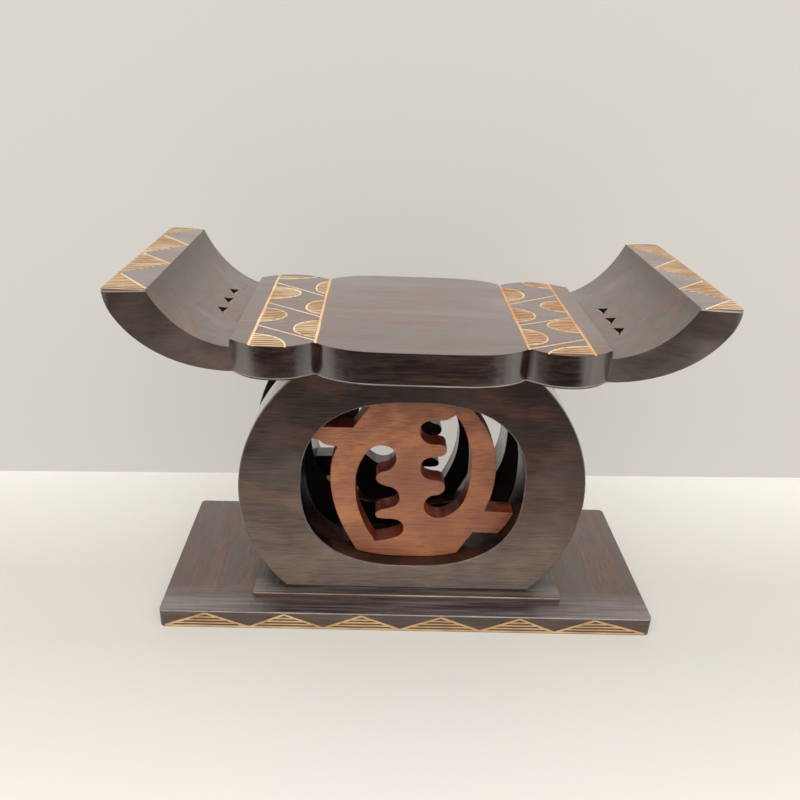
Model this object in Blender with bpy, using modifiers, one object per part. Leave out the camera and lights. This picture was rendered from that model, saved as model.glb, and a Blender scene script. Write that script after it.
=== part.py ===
"""A low wooden stool: an upswept seat on two barrel rings that each hold a fretwork symbol panel,
standing on a stepped base board. Metres, Z up, front towards -Y, origin under the middle of the base."""

import math

import bmesh
import bpy
from mathutils import Matrix, Vector

# Every size below is in metres. A name that ends in SHARE or SHARES holds proportions.
GAP = 0.0003  # clearance between two pieces that touch
OVERRUN = 0.0040  # how far a cutter passes beyond what it cuts

# base board
BASE_HALF_WIDTH = 0.260
BASE_HALF_DEPTH = 0.1035
BASE_THICKNESS = 0.0215
BASE_CORNER = 0.0050
BASE_EDGE = 0.0014

# raised step under the rings, set back from the edges of the base
STEP_SIDE_SETBACK = 0.0940
STEP_FRONT_SETBACK = 0.0250
STEP_BACK_SETBACK = 0.0020
STEP_THICKNESS = 0.0050
STEP_CORNER = 0.0020
STEP_EDGE = 0.0010

# barrel rings: setbacks run from the base's edges to the outer faces, heights from the foot
RING_FRONT_SETBACK = 0.0365
RING_BACK_SETBACK = 0.0055
RING_THICKNESS = 0.0460
RING_HEIGHT = 0.2631
RING_HALF_WIDTH = 0.1775
RING_BELLY_HEIGHT = 0.1154
RING_TOP_HALF_WIDTH = 0.0984
RING_FOOT_HALF_WIDTH = 0.1310
RING_SIDE_WALL = 0.0635
RING_TOP_WALL = 0.0398
RING_FOOT_WALL = 0.0297
RING_EDGE = 0.0012
HOLE_POWER_SHARE = 2.5  # 2 would be an ellipse, more is squarer

# fretwork symbol panels
PANEL_RECESS = 0.0165
PANEL_THICKNESS = 0.0210
PANEL_EDGE = 0.0007
PANEL_RISE_SHARE = 1.178  # one unit of the symbol's height, in half heights of the hole

# pegs that hold each panel in its ring
PEG_RADIUS = 0.0040
PEG_HALF_LENGTH = 0.0120
PEG_CHAMFER = 0.0008

# tenons on the rings, each set in from a corner of its ring's foot or top
TENON_THICKNESS = 0.0200
TENON_WIDTH = 0.0360
TENON_INSET = 0.0460
TENON_ROOT = 0.0060
TOP_TENON_HEIGHT = 0.0140
FOOT_TENON_DEPTH = 0.0120

# seat: a flat lobed middle and two wings that sweep up to level tips
SEAT_THICKNESS = 0.0319
SEAT_HALF_DEPTH = 0.1174
SEAT_EDGE = 0.0016
LOBE_END_X = 0.1705
WING_LENGTH = 0.1008
WING_RISE = 0.0473
WING_ROOT_INSET = 0.0206
WING_TIP_INSET = 0.0009
WING_CORNER = 0.0070
TIP_WIDTH = 0.0371
DISH_TUCK = 0.0155
DISH_DROP = 0.0089
DISH_SWEEP_SHARE = 0.880
UNDER_TUCK = 0.0205
UNDER_SWEEP_SHARE = 0.986

# three-cornered chip cuts, three on each wing
PIT_SETBACK = 0.0200
PIT_SPACING = 0.0295
PIT_OFFSET = 0.0120
PIT_LENGTH = 0.0210
PIT_WIDTH = 0.0085
PIT_DEPTH = 0.0025
PIT_OVERSIZE_SHARE = 1.4

# A quarter of the lobed outline of the raised seat: shares of LOBE_END_X and of SEAT_HALF_DEPTH,
# from the middle of the front edge round to the root of the wing. True marks a sharp corner.
LOBE_SHARES = (
    (0.00, 1.000, False),
    (0.18, 1.000, False),
    (0.33, 0.986, False),
    (0.43, 0.948, False),
    (0.51, 0.890, False),
    (0.56, 0.826, True),
    (0.62, 0.885, False),
    (0.69, 0.932, False),
    (0.78, 0.950, False),
    (0.87, 0.928, False),
    (0.94, 0.878, False),
)

# The symbol from the middle of the hole: shares of HOLE_HALF_WIDTH across, and up of HOLE_HALF_HEIGHT
# times PANEL_RISE_SHARE. True marks a sharp corner.
PANEL_SHARES = (
    (-0.33, 0.86, True),
    (-0.545, 0.53, True),
    (-0.97, 0.53, True),
    (-0.97, 0.42, True),
    (-0.85, 0.395, False),
    (-0.80, 0.355, False),
    (-0.685, 0.335, True),
    (-0.73, 0.20, False),
    (-0.745, 0.03, False),
    (-0.735, -0.14, False),
    (-0.695, -0.33, False),
    (-0.62, -0.54, False),
    (-0.46, -0.86, True),
    (0.42, -0.86, True),
    (0.60, -0.555, True),
    (0.97, -0.56, True),
    (0.97, -0.325, True),
    (0.69, -0.315, True),
    (0.74, -0.11, False),
    (0.755, 0.12, False),
    (0.735, 0.30, False),
    (0.685, 0.45, False),
    (0.61, 0.59, False),
    (0.49, 0.74, False),
    (0.37, 0.88, True),
)
LEFT_SLOT_SHARES = (
    (-0.375, 0.33, False),
    (-0.455, 0.22, False),
    (-0.505, 0.08, False),
    (-0.515, -0.08, False),
    (-0.50, -0.25, False),
    (-0.455, -0.41, False),
    (-0.385, -0.57, False),
    (-0.32, -0.68, True),
    (-0.15, -0.635, False),
    (-0.08, -0.59, False),
    (-0.062, -0.525, False),
    (-0.09, -0.455, False),
    (-0.16, -0.425, False),
    (-0.27, -0.42, False),
    (-0.325, -0.395, False),
    (-0.315, -0.345, False),
    (-0.16, -0.285, False),
    (-0.115, -0.23, False),
    (-0.12, -0.15, False),
    (-0.165, -0.09, False),
    (-0.28, -0.05, False),
    (-0.33, 0.00, False),
    (-0.315, 0.065, False),
    (-0.22, 0.105, False),
    (-0.165, 0.17, False),
    (-0.16, 0.255, False),
    (-0.195, 0.325, False),
    (-0.29, 0.355, False),
)
RIGHT_SLOT_SHARES = (
    (0.35, 0.675, True),
    (0.27, 0.625, False),
    (0.13, 0.615, False),
    (0.065, 0.58, False),
    (0.045, 0.515, False),
    (0.07, 0.435, False),
    (0.14, 0.385, False),
    (0.255, 0.375, False),
    (0.295, 0.335, False),
    (0.27, 0.27, False),
    (0.175, 0.25, False),
    (0.095, 0.215, False),
    (0.07, 0.13, False),
    (0.10, 0.05, False),
    (0.175, 0.013, False),
    (0.27, -0.005, False),
    (0.305, -0.07, False),
    (0.26, -0.14, False),
    (0.175, -0.165, False),
    (0.125, -0.235, False),
    (0.135, -0.325, False),
    (0.195, -0.385, False),
    (0.29, -0.395, False),
    (0.395, -0.335, False),
    (0.475, -0.23, False),
    (0.515, -0.07, False),
    (0.525, 0.105, False),
    (0.51, 0.30, False),
    (0.47, 0.455, False),
    (0.41, 0.595, False),
)

# heights of the stack, from the floor up
STEP_FOOT_Z = BASE_THICKNESS + GAP
RING_FOOT_Z = STEP_FOOT_Z + STEP_THICKNESS + GAP
RING_BELLY_Z = RING_FOOT_Z + RING_BELLY_HEIGHT
RING_TOP_Z = RING_FOOT_Z + RING_HEIGHT
HOLE_HALF_WIDTH = RING_HALF_WIDTH - RING_SIDE_WALL
HOLE_HALF_HEIGHT = (RING_HEIGHT - RING_TOP_WALL - RING_FOOT_WALL) / 2
HOLE_CENTRE_Z = RING_FOOT_Z + RING_FOOT_WALL + HOLE_HALF_HEIGHT
SEAT_UNDERSIDE_Z = RING_TOP_Z + GAP
SEAT_TOP_Z = SEAT_UNDERSIDE_Z + SEAT_THICKNESS
TIP_Z = SEAT_TOP_Z + WING_RISE

# the two arcs of a wing: the dish above and the curve underneath
TIP_OUTER_X = LOBE_END_X + WING_LENGTH
TIP_INNER_X = TIP_OUTER_X - TIP_WIDTH
DISH_START_X = LOBE_END_X - DISH_TUCK
DISH_START_Z = SEAT_TOP_Z - DISH_DROP
DISH_REACH = (TIP_INNER_X - DISH_START_X) / DISH_SWEEP_SHARE
DISH_RISE = (TIP_Z - DISH_START_Z) / (1 - math.sqrt(1 - DISH_SWEEP_SHARE**2))
UNDER_START_X = LOBE_END_X - UNDER_TUCK
UNDER_REACH = (TIP_OUTER_X - UNDER_START_X) / UNDER_SWEEP_SHARE
UNDER_RISE = (TIP_Z - SEAT_UNDERSIDE_Z) / (1 - math.sqrt(1 - UNDER_SWEEP_SHARE**2))

for thing in list(bpy.data.objects):
    bpy.data.objects.remove(thing)

scene = bpy.context.scene
stool = bpy.data.collections.new("wood_stool")
cutters = bpy.data.collections.new("cutters")
scene.collection.children.link(stool)
scene.collection.children.link(cutters)
cutters.hide_render = True


def wood(name, colour, roughness):
    material = bpy.data.materials.new(name)
    material.use_nodes = True
    shader = material.node_tree.nodes["Principled BSDF"]
    shader.inputs["Base Color"].default_value = (*colour, 1.0)
    shader.inputs["Roughness"].default_value = roughness
    return material


def own(material, name):
    """A copy of a wood for one piece, so that each piece can be told apart."""
    made = material.copy()
    made.name = name
    return made


def curve_mesh(name, outlines, low, high, upright, steps=4):
    """Closed outlines filled and extruded from low to high. Upright ones lie in XZ and extrude along Y.
    A rounded stretch between two points is cut into the given number of steps."""
    data = bpy.data.curves.new(name, "CURVE")
    data.dimensions = "2D"
    data.fill_mode = "BOTH"
    data.resolution_u = steps
    data.extrude = (high - low) / 2
    for outline in outlines:
        spline = data.splines.new("BEZIER")
        spline.bezier_points.add(len(outline) - 1)
        spline.use_cyclic_u = True
        for knot, (x, y, sharp) in zip(spline.bezier_points, outline):
            knot.co = (x, y, 0.0)
            knot.handle_left_type = knot.handle_right_type = "VECTOR" if sharp else "AUTO"
    holder = bpy.data.objects.new(name, data)
    scene.collection.objects.link(holder)
    bpy.context.view_layer.update()
    mesh = bpy.data.meshes.new_from_object(holder.evaluated_get(bpy.context.evaluated_depsgraph_get()))
    bpy.data.objects.remove(holder)
    mesh.name = name
    middle = (low + high) / 2
    if upright:
        mesh.transform(Matrix.Translation((0, middle, 0)) @ Matrix.Rotation(math.pi / 2, 4, "X"))
    else:
        mesh.transform(Matrix.Translation((0, 0, middle)))
    work = bmesh.new()
    work.from_mesh(mesh)
    bmesh.ops.remove_doubles(work, verts=work.verts, dist=GAP / 100)
    bmesh.ops.recalc_face_normals(work, faces=work.faces)
    work.to_mesh(mesh)
    work.free()
    return mesh


def box_mesh(name, low, high):
    size = Vector(high) - Vector(low)
    centre = (Vector(high) + Vector(low)) / 2
    mesh = bpy.data.meshes.new(name)
    work = bmesh.new()
    bmesh.ops.create_cube(work, size=1.0)
    place = Matrix.Translation(centre) @ Matrix.Diagonal((*size, 1))
    bmesh.ops.transform(work, verts=work.verts, matrix=place)
    work.to_mesh(mesh)
    work.free()
    return mesh


def rod_mesh(name, radius, y, low, high, chamfer=0.0):
    """An upright rod at x = 0, with its end rims chamfered where a chamfer is given."""
    mesh = bpy.data.meshes.new(name)
    work = bmesh.new()
    bmesh.ops.create_cone(
        work, cap_ends=True, segments=24, radius1=radius, radius2=radius, depth=high - low,
        matrix=Matrix.Translation((0, y, (low + high) / 2)),
    )
    if chamfer:
        rims = [e for e in work.edges if abs(e.verts[0].co.z - e.verts[1].co.z) < chamfer]
        bmesh.ops.bevel(work, geom=rims, offset=chamfer, segments=1, affect="EDGES")
    work.to_mesh(mesh)
    work.free()
    return mesh


def pit_mesh(name, side, y):
    """A pyramid with its point in the wood, laid on the dish of a wing. One corner of its three-cornered
    base points at the wing's tip. It is made larger than the cut, so that its base stands clear."""
    x = LOBE_END_X + PIT_SETBACK
    run = (x - DISH_START_X) / DISH_REACH
    fall = math.sqrt(1 - run * run)
    slope = math.atan(DISH_RISE / DISH_REACH * run / fall)
    across = PIT_WIDTH * PIT_OVERSIZE_SHARE / 1.5
    along = PIT_LENGTH * PIT_OVERSIZE_SHARE / math.sqrt(3)
    tall = PIT_DEPTH * PIT_OVERSIZE_SHARE
    mesh = bpy.data.meshes.new(name)
    work = bmesh.new()
    bmesh.ops.create_cone(work, cap_ends=True, segments=3, radius1=0.0, radius2=1.0, depth=1.0)
    place = (
        Matrix.Translation((side * x, y, DISH_START_Z + DISH_RISE * (1 - fall)))
        @ Matrix.Rotation(-side * slope, 4, "Y")
        @ Matrix.Translation((0, 0, tall / 2 - PIT_DEPTH))
        @ Matrix.Diagonal((across, along, tall, 1))
        @ Matrix.Rotation(-side * math.pi / 2, 4, "Z")
    )
    bmesh.ops.transform(work, verts=work.verts, matrix=place)
    bmesh.ops.recalc_face_normals(work, faces=work.faces)
    work.to_mesh(mesh)
    work.free()
    return mesh


def piece(name, mesh, material):
    mesh.materials.clear()
    mesh.materials.append(material)
    made = bpy.data.objects.new(name, mesh)
    stool.objects.link(made)
    return made


def cutter(name, mesh):
    made = bpy.data.objects.new(name, mesh)
    made.hide_render = True
    made.display_type = "WIRE"
    cutters.objects.link(made)
    return made


def combine(target, other, operation):
    step = target.modifiers.new(f"{operation.lower()}_{other.name}", "BOOLEAN")
    step.operation = operation
    step.solver = "EXACT"
    step.object = other


def soften(target, width, segments=2):
    step = target.modifiers.new("soften", "BEVEL")
    step.width = width
    step.segments = segments
    step.limit_method = "ANGLE"
    step.angle_limit = math.radians(35)


def rounded_box(low_x, high_x, low_y, high_y, corner):
    """A rectangle with quarter-round corners, as sharp-cornered points."""
    points = []
    for x, y, start in (
        (high_x - corner, high_y - corner, 0.0),
        (low_x + corner, high_y - corner, 0.5),
        (low_x + corner, low_y + corner, 1.0),
        (high_x - corner, low_y + corner, 1.5),
    ):
        for i in range(5):
            angle = math.pi * (start + i / 8)
            points.append((x + corner * math.cos(angle), y + corner * math.sin(angle), True))
    return points


def barrel_outline():
    """The ring's outside: an upright oval cut off flat at the foot and under the seat."""
    top = math.acos(RING_TOP_HALF_WIDTH / RING_HALF_WIDTH)
    foot = -math.acos(RING_FOOT_HALF_WIDTH / RING_HALF_WIDTH)
    top_rise = (RING_TOP_Z - RING_BELLY_Z) / math.sin(top)
    foot_rise = (RING_FOOT_Z - RING_BELLY_Z) / math.sin(foot)
    right = []
    count = 40
    for i in range(count + 1):
        angle = foot + (top - foot) * i / count
        rise = top_rise if angle > 0 else foot_rise
        right.append((RING_HALF_WIDTH * math.cos(angle), RING_BELLY_Z + rise * math.sin(angle), True))
    left = [(-x, z, sharp) for x, z, sharp in reversed(right)]
    return right + left


def hole_outline(shrink):
    """The ring's hole: an oval with full corners, made smaller all round by shrink."""
    half_width = HOLE_HALF_WIDTH - shrink
    half_height = HOLE_HALF_HEIGHT - shrink
    points = []
    count = 88
    for i in range(count):
        angle = 2 * math.pi * i / count
        across = math.cos(angle)
        up = math.sin(angle)
        x = math.copysign(abs(across) ** (2 / HOLE_POWER_SHARE), across)
        z = math.copysign(abs(up) ** (2 / HOLE_POWER_SHARE), up)
        points.append((half_width * x, HOLE_CENTRE_Z + half_height * z, True))
    return points


def symbol_outline(shares, mirrored):
    across = -HOLE_HALF_WIDTH if mirrored else HOLE_HALF_WIDTH
    up = HOLE_HALF_HEIGHT * PANEL_RISE_SHARE
    return [(across * x, HOLE_CENTRE_Z + up * z, sharp) for x, z, sharp in shares]


def seat_profile():
    """The seat from the front: flat middle, riser at each lobe end, dished wing and round underside."""
    under_tip = math.asin(UNDER_SWEEP_SHARE)
    dish_tip = math.asin(DISH_SWEEP_SHARE)
    dish_foot = math.asin((LOBE_END_X - DISH_START_X) / DISH_REACH)
    right = []
    for i in range(19):
        angle = under_tip * i / 18
        x = UNDER_START_X + UNDER_REACH * math.sin(angle)
        right.append((x, SEAT_UNDERSIDE_Z + UNDER_RISE * (1 - math.cos(angle)), True))
    for i in range(15):
        angle = dish_tip + (dish_foot - dish_tip) * i / 14
        x = DISH_START_X + DISH_REACH * math.sin(angle)
        right.append((x, DISH_START_Z + DISH_RISE * (1 - math.cos(angle)), True))
    right.append((LOBE_END_X, SEAT_TOP_Z, True))
    left = [(-x, z, sharp) for x, z, sharp in reversed(right)]
    return right + left


def seat_plan():
    """The seat from above: lobed middle, wings that flare a little towards square tips."""
    quarter = [(x * LOBE_END_X, y * SEAT_HALF_DEPTH, sharp) for x, y, sharp in LOBE_SHARES]
    root = SEAT_HALF_DEPTH - WING_ROOT_INSET
    flare = WING_ROOT_INSET - WING_TIP_INSET
    quarter.append((LOBE_END_X - SEAT_EDGE, root, True))
    for i in range(1, 9):
        share = i / 8 * (WING_LENGTH - WING_CORNER) / WING_LENGTH
        y = root + flare * (1 - (1 - share) ** 1.5)
        quarter.append((LOBE_END_X + share * WING_LENGTH, y, True))
    reach = quarter[-1][1] - WING_CORNER
    for i in range(1, 6):
        angle = math.pi / 2 * (1 - i / 5)
        x = TIP_OUTER_X - WING_CORNER + WING_CORNER * math.cos(angle)
        quarter.append((x, reach + WING_CORNER * math.sin(angle), True))
    outline = list(quarter)
    outline += [(x, -y, sharp) for x, y, sharp in reversed(quarter)]
    outline += [(-x, -y, sharp) for x, y, sharp in quarter[1:]]
    outline += [(-x, y, sharp) for x, y, sharp in reversed(quarter[1:])]
    return outline


dark = wood("dark_stained_wood", (0.060, 0.030, 0.022), 0.32)
red = wood("red_brown_wood", (0.300, 0.120, 0.070), 0.40)
pale = wood("peg_wood", (0.500, 0.340, 0.180), 0.60)

# base board and step
base_plan = rounded_box(
    -BASE_HALF_WIDTH, BASE_HALF_WIDTH, -BASE_HALF_DEPTH, BASE_HALF_DEPTH, BASE_CORNER,
)
base = piece(
    "base_board",
    curve_mesh("base_board", [base_plan], 0.0, BASE_THICKNESS, False),
    own(dark, "base_wood"),
)
soften(base, BASE_EDGE)
step_side = BASE_HALF_WIDTH - STEP_SIDE_SETBACK
step_front = BASE_HALF_DEPTH - STEP_FRONT_SETBACK
step_back = BASE_HALF_DEPTH - STEP_BACK_SETBACK
step_plan = rounded_box(-step_side, step_side, -step_front, step_back, STEP_CORNER)
step = piece(
    "base_step",
    curve_mesh("base_step", [step_plan], STEP_FOOT_Z, STEP_FOOT_Z + STEP_THICKNESS, False),
    own(dark, "step_wood"),
)
soften(step, STEP_EDGE)

# seat
profile_reach = SEAT_HALF_DEPTH + OVERRUN
seat = piece(
    "seat",
    curve_mesh("seat", [seat_profile()], -profile_reach, profile_reach, True),
    own(dark, "seat_wood"),
)
plan = cutter("seat_plan", curve_mesh("seat_plan", [seat_plan()], 0.0, TIP_Z + OVERRUN, False))
combine(seat, plan, "INTERSECT")
soften(seat, SEAT_EDGE)
for side, word in ((-1, "left"), (1, "right")):
    for i in (-1, 0, 1):
        label = f"pit_{word}_{i + 2}"
        pit = cutter(label, pit_mesh(label, side, i * PIT_SPACING - side * PIT_OFFSET))
        combine(seat, pit, "DIFFERENCE")


def tenon_joints(word, ring, ring_y):
    """Tenons on the ring's top and foot, and the mortises that take them in the seat, step and base."""
    half_thickness = TENON_THICKNESS / 2
    half_width = TENON_WIDTH / 2
    for side, hand in ((-1, "left"), (1, "right")):
        for where, corner, holders in (
            ("top", RING_TOP_HALF_WIDTH, (seat,)),
            ("foot", RING_FOOT_HALF_WIDTH, (step, base)),
        ):
            if where == "top":
                low = RING_TOP_Z - TENON_ROOT
                high = RING_TOP_Z + TOP_TENON_HEIGHT
            else:
                low = BASE_THICKNESS - FOOT_TENON_DEPTH
                high = RING_FOOT_Z + TENON_ROOT
            label = f"{word}_{where}_{hand}"
            left = side * (corner - TENON_INSET) - half_width
            right = side * (corner - TENON_INSET) + half_width
            front = ring_y - half_thickness
            back = ring_y + half_thickness
            tenon = cutter(
                f"tenon_{label}",
                box_mesh(f"tenon_{label}", (left, front, low), (right, back, high)),
            )
            combine(ring, tenon, "UNION")
            mortise = cutter(
                f"mortise_{label}",
                box_mesh(
                    f"mortise_{label}",
                    (left - GAP, front - GAP, low - GAP),
                    (right + GAP, back + GAP, high + GAP),
                ),
            )
            for holder in holders:
                combine(holder, mortise, "DIFFERENCE")


def panel_pegs(word, ring, panel, y):
    """An upright peg above and below the panel, half in the panel and half in the ring."""
    for where, joint in (
        ("top", HOLE_CENTRE_Z + HOLE_HALF_HEIGHT),
        ("bottom", HOLE_CENTRE_Z - HOLE_HALF_HEIGHT),
    ):
        label = f"{word}_{where}_panel_peg"
        low = joint - PEG_HALF_LENGTH
        high = joint + PEG_HALF_LENGTH
        piece(label, rod_mesh(label, PEG_RADIUS, y, low, high, PEG_CHAMFER), own(pale, f"{label}_wood"))
        bore_name = f"{label}_bore"
        bore = cutter(bore_name, rod_mesh(bore_name, PEG_RADIUS + GAP, y, low - GAP, high + GAP))
        combine(ring, bore, "DIFFERENCE")
        combine(panel, bore, "DIFFERENCE")


# rings with their panels, front and rear. The rear pair is the front pair turned round, so its symbol
# reads the right way from behind.
for word, facing, outer_face in (
    ("front", -1, -BASE_HALF_DEPTH + RING_FRONT_SETBACK),
    ("rear", 1, BASE_HALF_DEPTH - RING_BACK_SETBACK),
):
    ring_y = outer_face - facing * RING_THICKNESS / 2
    ring_low = ring_y - RING_THICKNESS / 2
    ring_high = ring_y + RING_THICKNESS / 2
    ring = piece(
        f"{word}_ring",
        curve_mesh(f"{word}_ring", [barrel_outline(), hole_outline(0.0)], ring_low, ring_high, True),
        own(dark, f"{word}_ring_wood"),
    )
    soften(ring, RING_EDGE)
    tenon_joints(word, ring, ring_y)

    panel_y = outer_face - facing * (PANEL_RECESS + PANEL_THICKNESS / 2)
    panel_low = panel_y - PANEL_THICKNESS / 2
    panel_high = panel_y + PANEL_THICKNESS / 2
    symbol = [
        symbol_outline(shares, facing == 1)
        for shares in (PANEL_SHARES, LEFT_SLOT_SHARES, RIGHT_SLOT_SHARES)
    ]
    panel = piece(
        f"{word}_symbol_panel",
        curve_mesh(f"{word}_symbol_panel", symbol, panel_low, panel_high, True, steps=3),
        own(red, f"{word}_panel_wood"),
    )
    plug_name = f"{word}_hole_plug"
    plug = cutter(
        plug_name,
        curve_mesh(plug_name, [hole_outline(GAP)], panel_low - OVERRUN, panel_high + OVERRUN, True),
    )
    combine(panel, plug, "INTERSECT")
    soften(panel, PANEL_EDGE, 1)
    panel_pegs(word, ring, panel, panel_y)
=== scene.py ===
"""The looks of the wood stool: stained and polished wood, raw-wood carving, the stage and the camera."""

import math
import random

import bmesh
import bpy
from mathutils import Matrix, Vector


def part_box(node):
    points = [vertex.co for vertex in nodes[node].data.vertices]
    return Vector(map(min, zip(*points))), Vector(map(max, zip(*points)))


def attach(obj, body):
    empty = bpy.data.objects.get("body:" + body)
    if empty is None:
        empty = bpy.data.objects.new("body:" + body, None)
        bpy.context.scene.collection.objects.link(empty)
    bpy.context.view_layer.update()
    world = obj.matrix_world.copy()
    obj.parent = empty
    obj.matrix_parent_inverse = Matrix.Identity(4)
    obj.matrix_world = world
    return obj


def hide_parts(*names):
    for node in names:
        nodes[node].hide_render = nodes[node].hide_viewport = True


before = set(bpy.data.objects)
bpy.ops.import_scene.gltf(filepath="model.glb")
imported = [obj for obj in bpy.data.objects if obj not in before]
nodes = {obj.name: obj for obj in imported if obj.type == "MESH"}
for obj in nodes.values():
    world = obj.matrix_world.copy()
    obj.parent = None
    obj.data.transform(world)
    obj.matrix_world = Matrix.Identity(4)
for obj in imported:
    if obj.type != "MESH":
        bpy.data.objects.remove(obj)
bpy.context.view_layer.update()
scene = bpy.context.scene

# heights and edges that the carving is laid on, in metres as all sizes here
SEAT_LOW_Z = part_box("seat")[0][2]
SEAT_TOP_Z = 0.3224
TIP_Z = 0.3697
TIP_INNER_X = 0.2342
TIP_OUTER_X = 0.2713
BASE_FACE_Y = 0.1035

# the seat's lobed middle: where it ends, its half width and half depth, and as shares of these where
# the lobe beside the notch starts and how long it is, and how far the notch and the lobe reach
MIDDLE_END_X = 0.1720
MIDDLE_HALF_WIDTH = 0.1705
MIDDLE_HALF_DEPTH = 0.1174
NOTCH_ALONG = 0.56
LOBE_LENGTH = 0.42
NOTCH_REACH = 0.826
LOBE_REACH = 0.950
LOBE_POWER = 0.75

# the three-cornered cuts in each wing, which are part of the seat's solid
CHIPS_INNER_X = 0.180
CHIPS_OUTER_X = 0.202
CHIPS_HALF_Y = 0.055
CHIPS_LOW_Z = 0.30

# bands across the seat, between an inner and an outer line that run past its edges
BAND_INNER_X = 0.0950
BAND_OUTER_X = 0.1520
LINE_HALF = 0.130
LINE_PARTS = 12

# widths and depths of the cuts, and their profile: the width of the mouth and the floor, and how far
# the cutting shape stands clear of the face, as shares of the cut's width and depth
LINE_WIDTH = 0.0025
ZIGZAG_WIDTH = 0.0018
THIN_WIDTH = 0.0012
RIM_WIDTH = 0.0019
HATCH_WIDTH = 0.0029
HATCH_PITCH = 0.0043
TRIANGLE_WIDTH = 0.0023
STRIPE_WIDTH = 0.0018
CUT_DEPTH = 0.0009
HATCH_DEPTH = 0.0008
MOUTH_SHARE = 1.35
FLOOR_SHARE = 0.3
CLEAR_SHARE = 0.5

# a cut's corners widen it at most as if the turn had this cosine
SHARPEST_TURN = 0.4

# gaps between the hatching and what is around it. Lines shorter than the shortest are left out.
HATCH_START_GAP = 0.0006
HATCH_END_GAP = 0.0004
HATCH_SHORTEST = 0.003
HATCH_EDGE_GAP = 0.0016
HATCH_EDGE_EXTRA = 0.0040
TIP_CORNER_GAP = 0.0012
TIP_START_GAP = 0.0006
TIP_FALLBACK_GAP = 0.002
TIP_SHORTEST = 0.004
TIP_OVERRUN = 0.001
TIP_RIDGE_GAP = 0.001
TIP_HATCH_HALF = 0.1105

# how unsteady the hand that cuts is
LINE_SHAKE = 0.00025
HATCH_SHAKE = 0.0002
HATCH_END_SHAKE = 0.0003
WIDTH_SHAKE = 0.15

# triangles on the base's front and rear edges
TRIANGLE_LOW_Z = 0.0019
TRIANGLE_HIGH_Z = 0.0186
TRIANGLES_END_X = 0.2550
STRIPE_COUNT = 3
STRIPE_PARTS = 4.3
STRIPE_GAP = 0.0015

# how far edges are rounded, and in how many parts
SEAT_LOW_ROUND = 0.0022
TIP_ROUND = 0.0018
BASE_ROUND = 0.0013
STEP_ROUND = 0.0016
RING_ROUND = 0.0009
PANEL_ROUND = 0.0009
ROUND_PARTS = 3

# which edges are rounded: the seat's lower edge and the ends of its tips from these y on, and a
# board's edges within the rim, so that its mortises stay sharp
SEAT_LOW_ROUND_Y = 0.09
TIP_ROUND_Y = 0.110
# where the painted highlight on the tips' rounded ends starts
TIP_HIGHLIGHT_Y = 0.109
BOARD_RIM = 0.005

# the holes in the rings, by which their inner walls are told from their outer sides
HOLE_MIDDLE_Z = 0.1536
HOLE_REACH_X = 0.116
HOLE_REACH_Z = 0.099
HOLE_POWER = 2.5

# Faces are told apart by how far they look up, or outwards, from -1 to 1. Over FLAT they look that
# way, over TILTED they are a rounded edge, within SIDEWAYS of zero they look across it, and under
# BACKWARD they look the other way. Over STRAIGHT they are square to an axis.
FLAT = 0.97
TILTED = 0.2
SIDEWAYS = 0.5
BACKWARD = -0.9
STRAIGHT = 0.9999

# the same on the seat: the tops of ridges, its rounded edges, its upright sides, its underside, and
# the faces of the three-cornered cuts that look inwards and outwards
RIDGE_LEVEL = 0.99
SEAT_TILTED = 0.1
SEAT_UPRIGHT = 0.6
SEAT_UNDER = -0.3
PIT_SLOPE = 0.7
CHIP_SLOPE = 0.15

# a face beside a flat one is its side when it looks this far across, and a wing's dish, which is no
# side, when it looks this far inwards. The dish's wood starts this far below the tip.
SIDE_SLOPE = 0.44
DISH_SLOPE = 0.5
DISH_DROP = 0.0005

# Faces turned by less than the first angle become one, and an edge is sharp from the second angle
# on. The ridges between cuts are faces smaller than this area.
JOIN_ANGLE = math.radians(0.1)
SHARP_ANGLE = math.radians(32)
SMALL_AREA = 0.0002

# two heights are the same when they are this near, and two points when they are this near
NEAR = 0.0002
TINY = 0.00001

# noise is mostly between 0.3 and 0.7. These are the two values between which one stain, or the
# polish, turns to another.
STREAK_TURN = (0.36, 0.64)
EDGE_STREAK_TURN = (0.36, 0.66)
COOL_TURN = (0.46, 0.66)
SPECK_TURN = (0.58, 0.74)
RAW_TURN = (0.40, 0.60)
POLISH_TURN = (0.35, 0.65)

# how fine the places with the cool tone are along each axis, against the patches of thin stain
COOL_FINENESS = (1.7, 0.8, 0.8)

# how much further on the thin stain has its full share, and the most that each stain covers
THIN_TURN = 0.24
THIN_SHARE = 0.8
COOL_SHARE = 0.75
SPECK_SHARE = 0.55

# how far the surface's swell shifts the places where the front strip's painted sheen and the painted light
# low down start
EDGE_SHIFT = 0.03
LOW_SHIFT = 0.12

# the painted sheen on a front strip gets lighter to both sides, between these places and by these amounts
STRIP_SIDES_X = (0.13, 0.24)
STRIP_SIDES_SHADE = (-0.05, 0.12)

# where the tone of the upper right sets in, and that of raw wood on the right, which has only this
# share on the tip
RIGHT_X = (0.0, 0.09)
RIGHT_Z = (0.06, 0.14)
RAW_RIGHT_X = (-0.02, 0.02)
RAW_TIP_X = (0.19, 0.23)
RAW_TIP_SHARE = 0.3

# how much smoother and rougher than its own value the polish gets
SMOOTHER = 0.08
ROUGHER = 0.12

rng = random.Random(7)


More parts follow.
